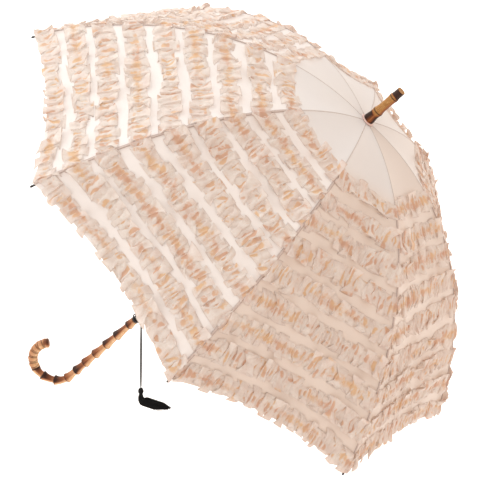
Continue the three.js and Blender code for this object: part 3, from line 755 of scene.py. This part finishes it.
# ---------------------------------------------------------------- ferrule and rosette
def ferrule():
    """Two nodes of bamboo with painted shade at the foot and along one side, a dark far end and a pale cut
    face.
    """
    height = np.linspace(FERRULE_FOOT, FERRULE_TOP, 220)
    h = (height - FERRULE_FOOT) / MM
    outline = [(0, 9.2), (2, 9.6), (6, 9.2), (13, 8.0), (18, 8.3), (20.5, 8.9), (21.8, 9.2), (22.6, 8.3)]
    outline += [(23.4, 8.9), (25, 8.2), (30, 7.4), (42, 7.2), (52, 7.4), (57, 8.0), (58.8, 8.6), (59.6, 7.8)]
    outline += [(60.4, 8.3), (62, 7.6), (66, 7.1), (76.4, 7.0)]  # height above the foot and radius, in mm
    knots_h, knots_r = zip(*outline)
    radius = np.interp(h, knots_h, knots_r) * MM
    radius = np.convolve(np.pad(radius, 1, mode="edge"), np.ones(3) / 3, mode="valid")
    shaft_hole, pocket = 5.3 * MM, CROWN_Z + 35.3 * MM
    profile = [(shaft_hole, FERRULE_FOOT), *zip(radius, height), (radius[-1] - 0.8 * MM, FERRULE_TOP)]
    profile += [(1e-5, FERRULE_TOP), (1e-5, pocket), (shaft_hole, pocket)]
    points, faces = lathe(profile)
    obj = new_mesh("bamboo_ferrule", points, faces[:, ::-1], "shaft", FERRULE_BAMBOO)
    r = np.hypot(points[:, 0], points[:, 1])
    h = (points[:, 2] - FERRULE_FOOT) / MM
    angle = np.arctan2(points[:, 1], points[:, 0])
    add_attribute(obj, "along", points[:, 2] + 0.5)
    add_attribute(obj, "round", angle)
    near = np.exp(-((h - 22.6) / 1.0) ** 2) + np.exp(-((h - 59.6) / 1.1) ** 2)
    add_attribute(obj, "node", np.clip(near, 0, 1) * (r > 6 * MM))
    far_end = np.clip((h - 61) / 3, 0, 1) * 0.95
    # painted shade: darker towards the foot, more on one side, and a dark streak along one side; the far end
    # is dark bamboo
    foot = np.clip((21 - h) / 6, 0, 1) * (0.35 + 0.75 * np.clip(np.cos(angle - FOOT_PAINTED_SHADE), 0, 1))
    streak = np.clip(np.cos(angle - SIDE_PAINTED_SHADE) * 1.8 - 0.9, 0, 1) * 0.8
    cut_face = h > 76.3
    add_attribute(obj, "scorch_and_painted_shade", np.clip(far_end + foot + streak, 0, 1) * (r > 6.3 * MM) * ~cut_face)
    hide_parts("ferrule")


def rosette():
    """A gathered cloth ring between the canopy and the ferrule."""
    sides = 96
    angles = np.arange(sides) * TAU / sides
    profile = [(5.4, 1.2), (8, 1.1), (10.6, 1.1), (11.8, 1.7)]
    profile += [(11.4, 2.6), (9.8, 3.3), (7.5, 3.4), (5.4, 3.3)]
    points, faces = lathe(np.array(profile) * MM, sides)
    points[:, 2] += CROWN_Z
    ripple = 1 + 0.035 * np.sin(21 * np.tile(angles, len(profile)))
    points[:, :2] *= np.where(np.hypot(points[:, 0], points[:, 1]) > 9 * MM, ripple, 1)[:, None]
    obj = new_mesh("crown_rosette_cloth", points, faces[:, ::-1], "shaft", PINK)
    add_attribute(obj, "round", np.tile(angles, len(profile)))
    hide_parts("crown_rosette")


handle()
ferrule()
rosette()


# ---------------------------------------------------------------- cord and tassel
def node_centre(name):
    low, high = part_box(name)
    return (Vector(low) + Vector(high)) / 2


ROPE_SIDES = 10


def rope(name, centres, radius, body, material, node=None, up=(0, 1, 0)):
    points, faces, angles = sweep(centres, radius, ROPE_SIDES, up=up)
    obj = new_mesh(name, points, faces, body, material)
    lengths = np.concatenate([[0], np.cumsum(np.linalg.norm(np.diff(centres, axis=0), axis=1))])
    add_attribute(obj, "along", np.repeat(lengths, ROPE_SIDES))
    add_attribute(obj, "round", angles)
    if node:
        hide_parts(node)


joint_of = {j["name"]: j for j in frame["joints"]}
cord_start = np.array(joint_of["tassel_swing"]["pos_m"])
bend_at = np.array(joint_of["tassel_bend"]["pos_m"])
cord_direction = (bend_at - cord_start) / np.linalg.norm(bend_at - cord_start)
skirt_far = np.array(node_centre("tassel_skirt"))
skirt_direction = (skirt_far - bend_at) / np.linalg.norm(skirt_far - bend_at)
bend_axis = np.array(joint_of["tassel_bend"]["axis"])
HEAD_LENGTH = 15.8 * MM
STRAND_R = 0.95 * MM
COLLAR_CORD_Z = CROWN_Z - 584 * MM
THREADS = 260
THREAD_LENGTH = 66 * MM
THREAD_R = 0.42 * MM
THREAD_SIDES = 5
CORD_LENGTH = np.linalg.norm(bend_at - cord_start) - HEAD_LENGTH
LOOP_R = 8.3 * MM


def cord():
    steps = np.linspace(0, 1, 60)
    side = np.cross(cord_direction, bend_axis)
    for strand, sign in enumerate((-1, 1)):
        spread = sign * STRAND_R * np.sin(math.pi * np.clip(steps * 1.02, 0, 1)) ** 0.35
        centres = cord_start + steps[:, None] * cord_direction * CORD_LENGTH + spread[:, None] * side
        name = f"cord_strand_{strand + 1}"
        rope(name, centres, STRAND_R, "tassel_cord", BLACK_CORD, "tassel_cord", up=bend_axis)
    turns = np.linspace(0, 2 * TAU, 160)
    z = COLLAR_CORD_Z + 1.0 * MM * np.cos(turns / 2)
    ring = np.stack([LOOP_R * np.cos(turns), LOOP_R * np.sin(turns), z], -1)
    rope("cord_round_collar", ring, STRAND_R, "shaft", BLACK_CORD, "cord_loop", up=(0, 0, 1))
    bow = np.linspace(0, TAU, 40)
    out = cord_start * np.array([1, 1, 0])
    out /= np.linalg.norm(out)
    knot = cord_start - out * 1.2 * MM + np.stack([
        out[0] * 1.7 * MM * np.cos(bow) - out[1] * 2.4 * MM * np.sin(2 * bow),
        out[1] * 1.7 * MM * np.cos(bow) + out[0] * 2.4 * MM * np.sin(2 * bow),
        2.2 * MM * np.sin(bow),
    ], -1)
    rope("cord_knot", knot, 0.9 * MM, "shaft", BLACK_CORD, up=(0.3, 0.2, 1))
    link = np.linspace(LOOP_R, np.linalg.norm(cord_start[:2]) - 1.5 * MM, 6)
    link_line = link[:, None] * out + [0, 0, cord_start[2]]
    rope("cord_link", link_line, 1.5 * MM, "shaft", BLACK_CORD, up=(0, 0, 1))


def collar():
    """Blackened sleeve over the top of the bamboo."""
    z0, z1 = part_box("handle_collar")[0][2] / MM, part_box("handle_collar")[1][2] / MM
    profile = [(5.05, z0), (5.9, z0), (6.3, z0 + 0.6), (6.1, z0 + 2), (6.0, z1 - 4)]
    profile += [(6.5, z1 - 3.4), (6.5, z1 - 1.2), (5.9, z1 - 0.2), (5.05, z1)]
    points, faces = lathe(np.array(profile) * MM, 48)
    obj = new_mesh("handle_sleeve", points, faces[:, ::-1], "shaft", BLACK_STEEL)
    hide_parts("handle_collar")


def tassel():
    """A bound head and a bundle of fine threads that bends away from it."""
    tilt = Vector((0, 0, 1)).rotation_difference(Vector(cord_direction)).to_matrix()
    top = cord_start + cord_direction * (CORD_LENGTH - 0.5 * MM)
    profile = [(0.05, 0), (2.2, 0.4), (3.8, 1.8), (4.8, 4.4), (5.0, 7), (4.4, 9.4), (3.5, 10.6), (3.6, 11.2)]
    profile += [(3.3, 12), (3.7, 12.8), (4.2, 14.4), (3.6, 15.4), (0.05, 15.6)]
    points, faces = lathe(np.array(profile) * MM, 48)
    spun = np.arctan2(points[:, 1], points[:, 0])
    r = np.hypot(points[:, 0], points[:, 1])
    grooves = 1 + 0.04 * np.sin(24 * spun) * (r > 2 * MM)
    points[:, :2] *= grooves[:, None]
    placed = points @ np.array(tilt).T + top
    obj = new_mesh("tassel_bound_head", placed, faces[:, ::-1], "tassel_cord", BLACK_CORD)
    add_attribute(obj, "along", points[:, 2])
    add_attribute(obj, "round", spun)
    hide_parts("tassel_head")

    steps = 16
    skirt_end = skirt_direction - 0.26 * cord_direction
    skirt_end /= np.linalg.norm(skirt_end)
    generator = np.random.default_rng(5)
    verts, faces, along, around, offset = [], [], [], [], 0
    t = np.linspace(0, 1, steps)
    third = np.cross(cord_direction, bend_axis)
    for _ in range(THREADS):
        angle = generator.uniform(0, TAU)
        spread = math.sqrt(generator.uniform(0, 1))
        upper = spread * math.sin(angle) * math.copysign(1, np.cross(skirt_direction, bend_axis)[2])
        length = THREAD_LENGTH * (0.91 + 0.09 * upper) * generator.uniform(0.86, 1.0)
        turn = smooth_step(t / 0.26)
        heading = cord_direction * (1 - turn[:, None]) + skirt_end * turn[:, None]
        heading /= np.linalg.norm(heading, axis=1, keepdims=True)
        reached = np.cumsum((heading[1:] + heading[:-1]) / 2, axis=0)
        line = np.concatenate([[np.zeros(3)], reached]) * length / (steps - 1)
        bulge = (4.0 + 5.8 * smooth_step(t / 0.22) - 5.2 * smooth_step((t - 0.72) / 0.28)) * MM
        flat = 0.86 + 0.14 * (1 - t)
        sway = generator.normal(0, 0.9 * MM, 2)[:, None] * t ** 2
        across = np.cross(skirt_direction, bend_axis)
        off_a = (spread * bulge * math.cos(angle) + sway[0])[:, None] * bend_axis
        off_b = (spread * bulge * flat * math.sin(angle) + sway[1])[:, None]
        off_b = off_b * (third * (1 - turn[:, None]) + across * turn[:, None])
        centres = bend_at - cord_direction * 1.5 * MM + line + off_a + off_b
        points, tube, angles = sweep(centres, THREAD_R, THREAD_SIDES, up=bend_axis)
        verts.append(points)
        faces += [[k + offset for k in face] for face in tube]
        offset += len(points)
        along.append(np.repeat(t * length, THREAD_SIDES))
        around.append(angles)
    obj = new_mesh("tassel_threads", np.concatenate(verts), faces, "tassel_skirt", BLACK_CORD)
    add_attribute(obj, "along", np.concatenate(along))
    add_attribute(obj, "round", np.concatenate(around))
    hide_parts("tassel_skirt")


collar()
cord()
tassel()


# ---------------------------------------------------------------- rib tips and the bare frame
def rib_tips():
    for n in range(1, GORES + 1):
        azimuth = (n - 1) * 2 * HALF_GORE
        r, z = rib_point(RIB_ARC, RIB_DROP)
        slope = slope_at(RIB_ARC)
        profile = [(1.55, -9), (2.1, -9), (2.4, -8.6), (2.4, -7.4), (2.0, -7), (2.0, -1.4), (2.35, -1)]
        profile += [(2.35, 0.2), (1.7, 0.8), (1.45, 2.2), (1.9, 4), (1.9, 5.4), (1.3, 7), (0.4, 7.9)]
        profile += [(0.02, 8), (0.02, -3), (1.55, -3)]
        points, faces = lathe(np.array(profile) * MM, 24)
        spin = np.array(Matrix.Rotation(math.pi / 2 + float(slope), 3, "Y")).T
        placed = points @ spin + np.array([float(r), 0, float(z)])
        obj = new_mesh(f"rib_tip_cup_{n}", turned(placed, azimuth), faces[:, ::-1], f"rib_{n}", BLACK_STEEL)
        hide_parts(f"rib_tip_{n}")


rib_tips()

for name, obj in frame["nodes"].items():
    if name.startswith(("rib_", "stretcher_")) or name == "shaft":
        obj.data.materials.clear()
        obj.data.materials.append(BLACK_STEEL)
    elif name in ("top_notch", "notch_wire", "runner", "stop_pin", "open_catch", "closed_catch"):
        obj.data.materials.clear()
        obj.data.materials.append(NICKEL)


# ---------------------------------------------------------------- stage
FLOOR_HALF_SIDE = 14
FLOOR_GAP = 25 * MM  # below the parasol


def floor():
    z, side = cad_box[0][2] - FLOOR_GAP, FLOOR_HALF_SIDE
    mesh = bpy.data.meshes.new("pale_floor")
    corners = [(-side, -side, z), (side, -side, z), (side, side, z), (-side, side, z)]
    mesh.from_pydata(corners, [], [(0, 1, 2, 3)])
    obj = bpy.data.objects.new("pale_floor", mesh)
    bpy.context.collection.objects.link(obj)
    mesh.materials.append(floor_material())


def look_matrix(location, forward, roll):
    """World matrix of a camera or light that looks along forward, turned by roll about it."""
    backward = -Vector(forward).normalized()
    right = Vector((0, 0, 1)).cross(backward).normalized()
    up = backward.cross(right)
    turned_right = right * math.cos(roll) + up * math.sin(roll)
    turned_up = up * math.cos(roll) - right * math.sin(roll)
    matrix = Matrix((turned_right, turned_up, backward)).transposed().to_4x4()
    matrix.translation = location
    return matrix


CAMERA_AZIMUTH = math.radians(257.43)
CAMERA_HEIGHT = math.radians(29.28)
CAMERA_ROLL = math.radians(49.47)
CAMERA_DISTANCE = 3.386
# Focal length over the image's width: the best fitting of four values tried, but not by much. The
# camera's other values and the canopy's dimensions were fitted to go with it.
FOCAL_OVER_WIDTH = 2000 / 482
SENSOR_WIDTH = 36
AMBIENT_TINT, AMBIENT_STRENGTH = (1, 0.895, 0.822, 1), 0.83


def camera():
    level, height = math.cos(CAMERA_HEIGHT), math.sin(CAMERA_HEIGHT)
    back = Vector((level * math.cos(CAMERA_AZIMUTH), level * math.sin(CAMERA_AZIMUTH), height))
    matrix = look_matrix((0, 0, 0), -back, CAMERA_ROLL)
    right, up = matrix.col[0].xyz, matrix.col[1].xyz
    aim = Vector((0, 0, CROWN_Z - 300 * MM)) - right * 5 * MM - up * 23 * MM
    matrix.translation = aim + back * CAMERA_DISTANCE
    data = bpy.data.cameras.new("camera")
    data.sensor_width = SENSOR_WIDTH
    data.lens = SENSOR_WIDTH * FOCAL_OVER_WIDTH
    data.clip_end = 100
    obj = bpy.data.objects.new("camera", data)
    bpy.context.collection.objects.link(obj)
    obj.matrix_world = matrix
    bpy.context.scene.camera = obj
    return matrix


def area_light(name, location, target, size, power, color):
    data = bpy.data.lights.new(name, "AREA")
    data.size = size
    data.energy = power
    data.color = color
    obj = bpy.data.objects.new(name, data)
    bpy.context.collection.objects.link(obj)
    obj.matrix_world = look_matrix(location, Vector(target) - Vector(location), 0)
    obj.visible_camera = False


def studio(camera_matrix):
    """Soft lights placed about the camera's own right, up and back, and a warm ambient light.

    They were tuned until the render came near the photograph; how it was really lit isn't known.
    """
    right, up, back = (camera_matrix.col[k].xyz for k in range(3))
    centre = Vector((0, 0, CROWN_Z - 200 * MM))
    area_light("key", centre - right * 1.4 + up * 1.8 + back * 2.1, centre, 3.8, 28.5, (0.74, 0.93, 1))
    area_light("fill", centre + right * 2.3 - up * 0.7 + back * 1.3, centre, 2.4, 8.6, (1, 0.7, 0.45))
    area_light("top", centre + up * 2.5 - right * 0.5 - back * 0.2, centre, 2.2, 24, (0.88, 0.96, 1))
    area_light("rim", centre + right * 2.6 + up * 0.2 - back * 2.0, centre, 2.2, 22, (1, 0.95, 0.88))
    world = bpy.data.worlds.new("studio")
    bpy.context.scene.world = world
    world.use_nodes = True
    nodes, links = world.node_tree.nodes, world.node_tree.links
    tint = nodes.new("ShaderNodeMixRGB")
    tint.inputs["Color1"].default_value = AMBIENT_TINT
    tint.inputs["Color2"].default_value = (1, 1, 1, 1)
    links.new(nodes.new("ShaderNodeLightPath").outputs["Is Camera Ray"], tint.inputs["Fac"])
    links.new(tint.outputs["Color"], nodes["Background"].inputs["Color"])
    nodes["Background"].inputs["Strength"].default_value = AMBIENT_STRENGTH
    bpy.context.scene.view_settings.view_transform = "Standard"


floor()
studio(camera())
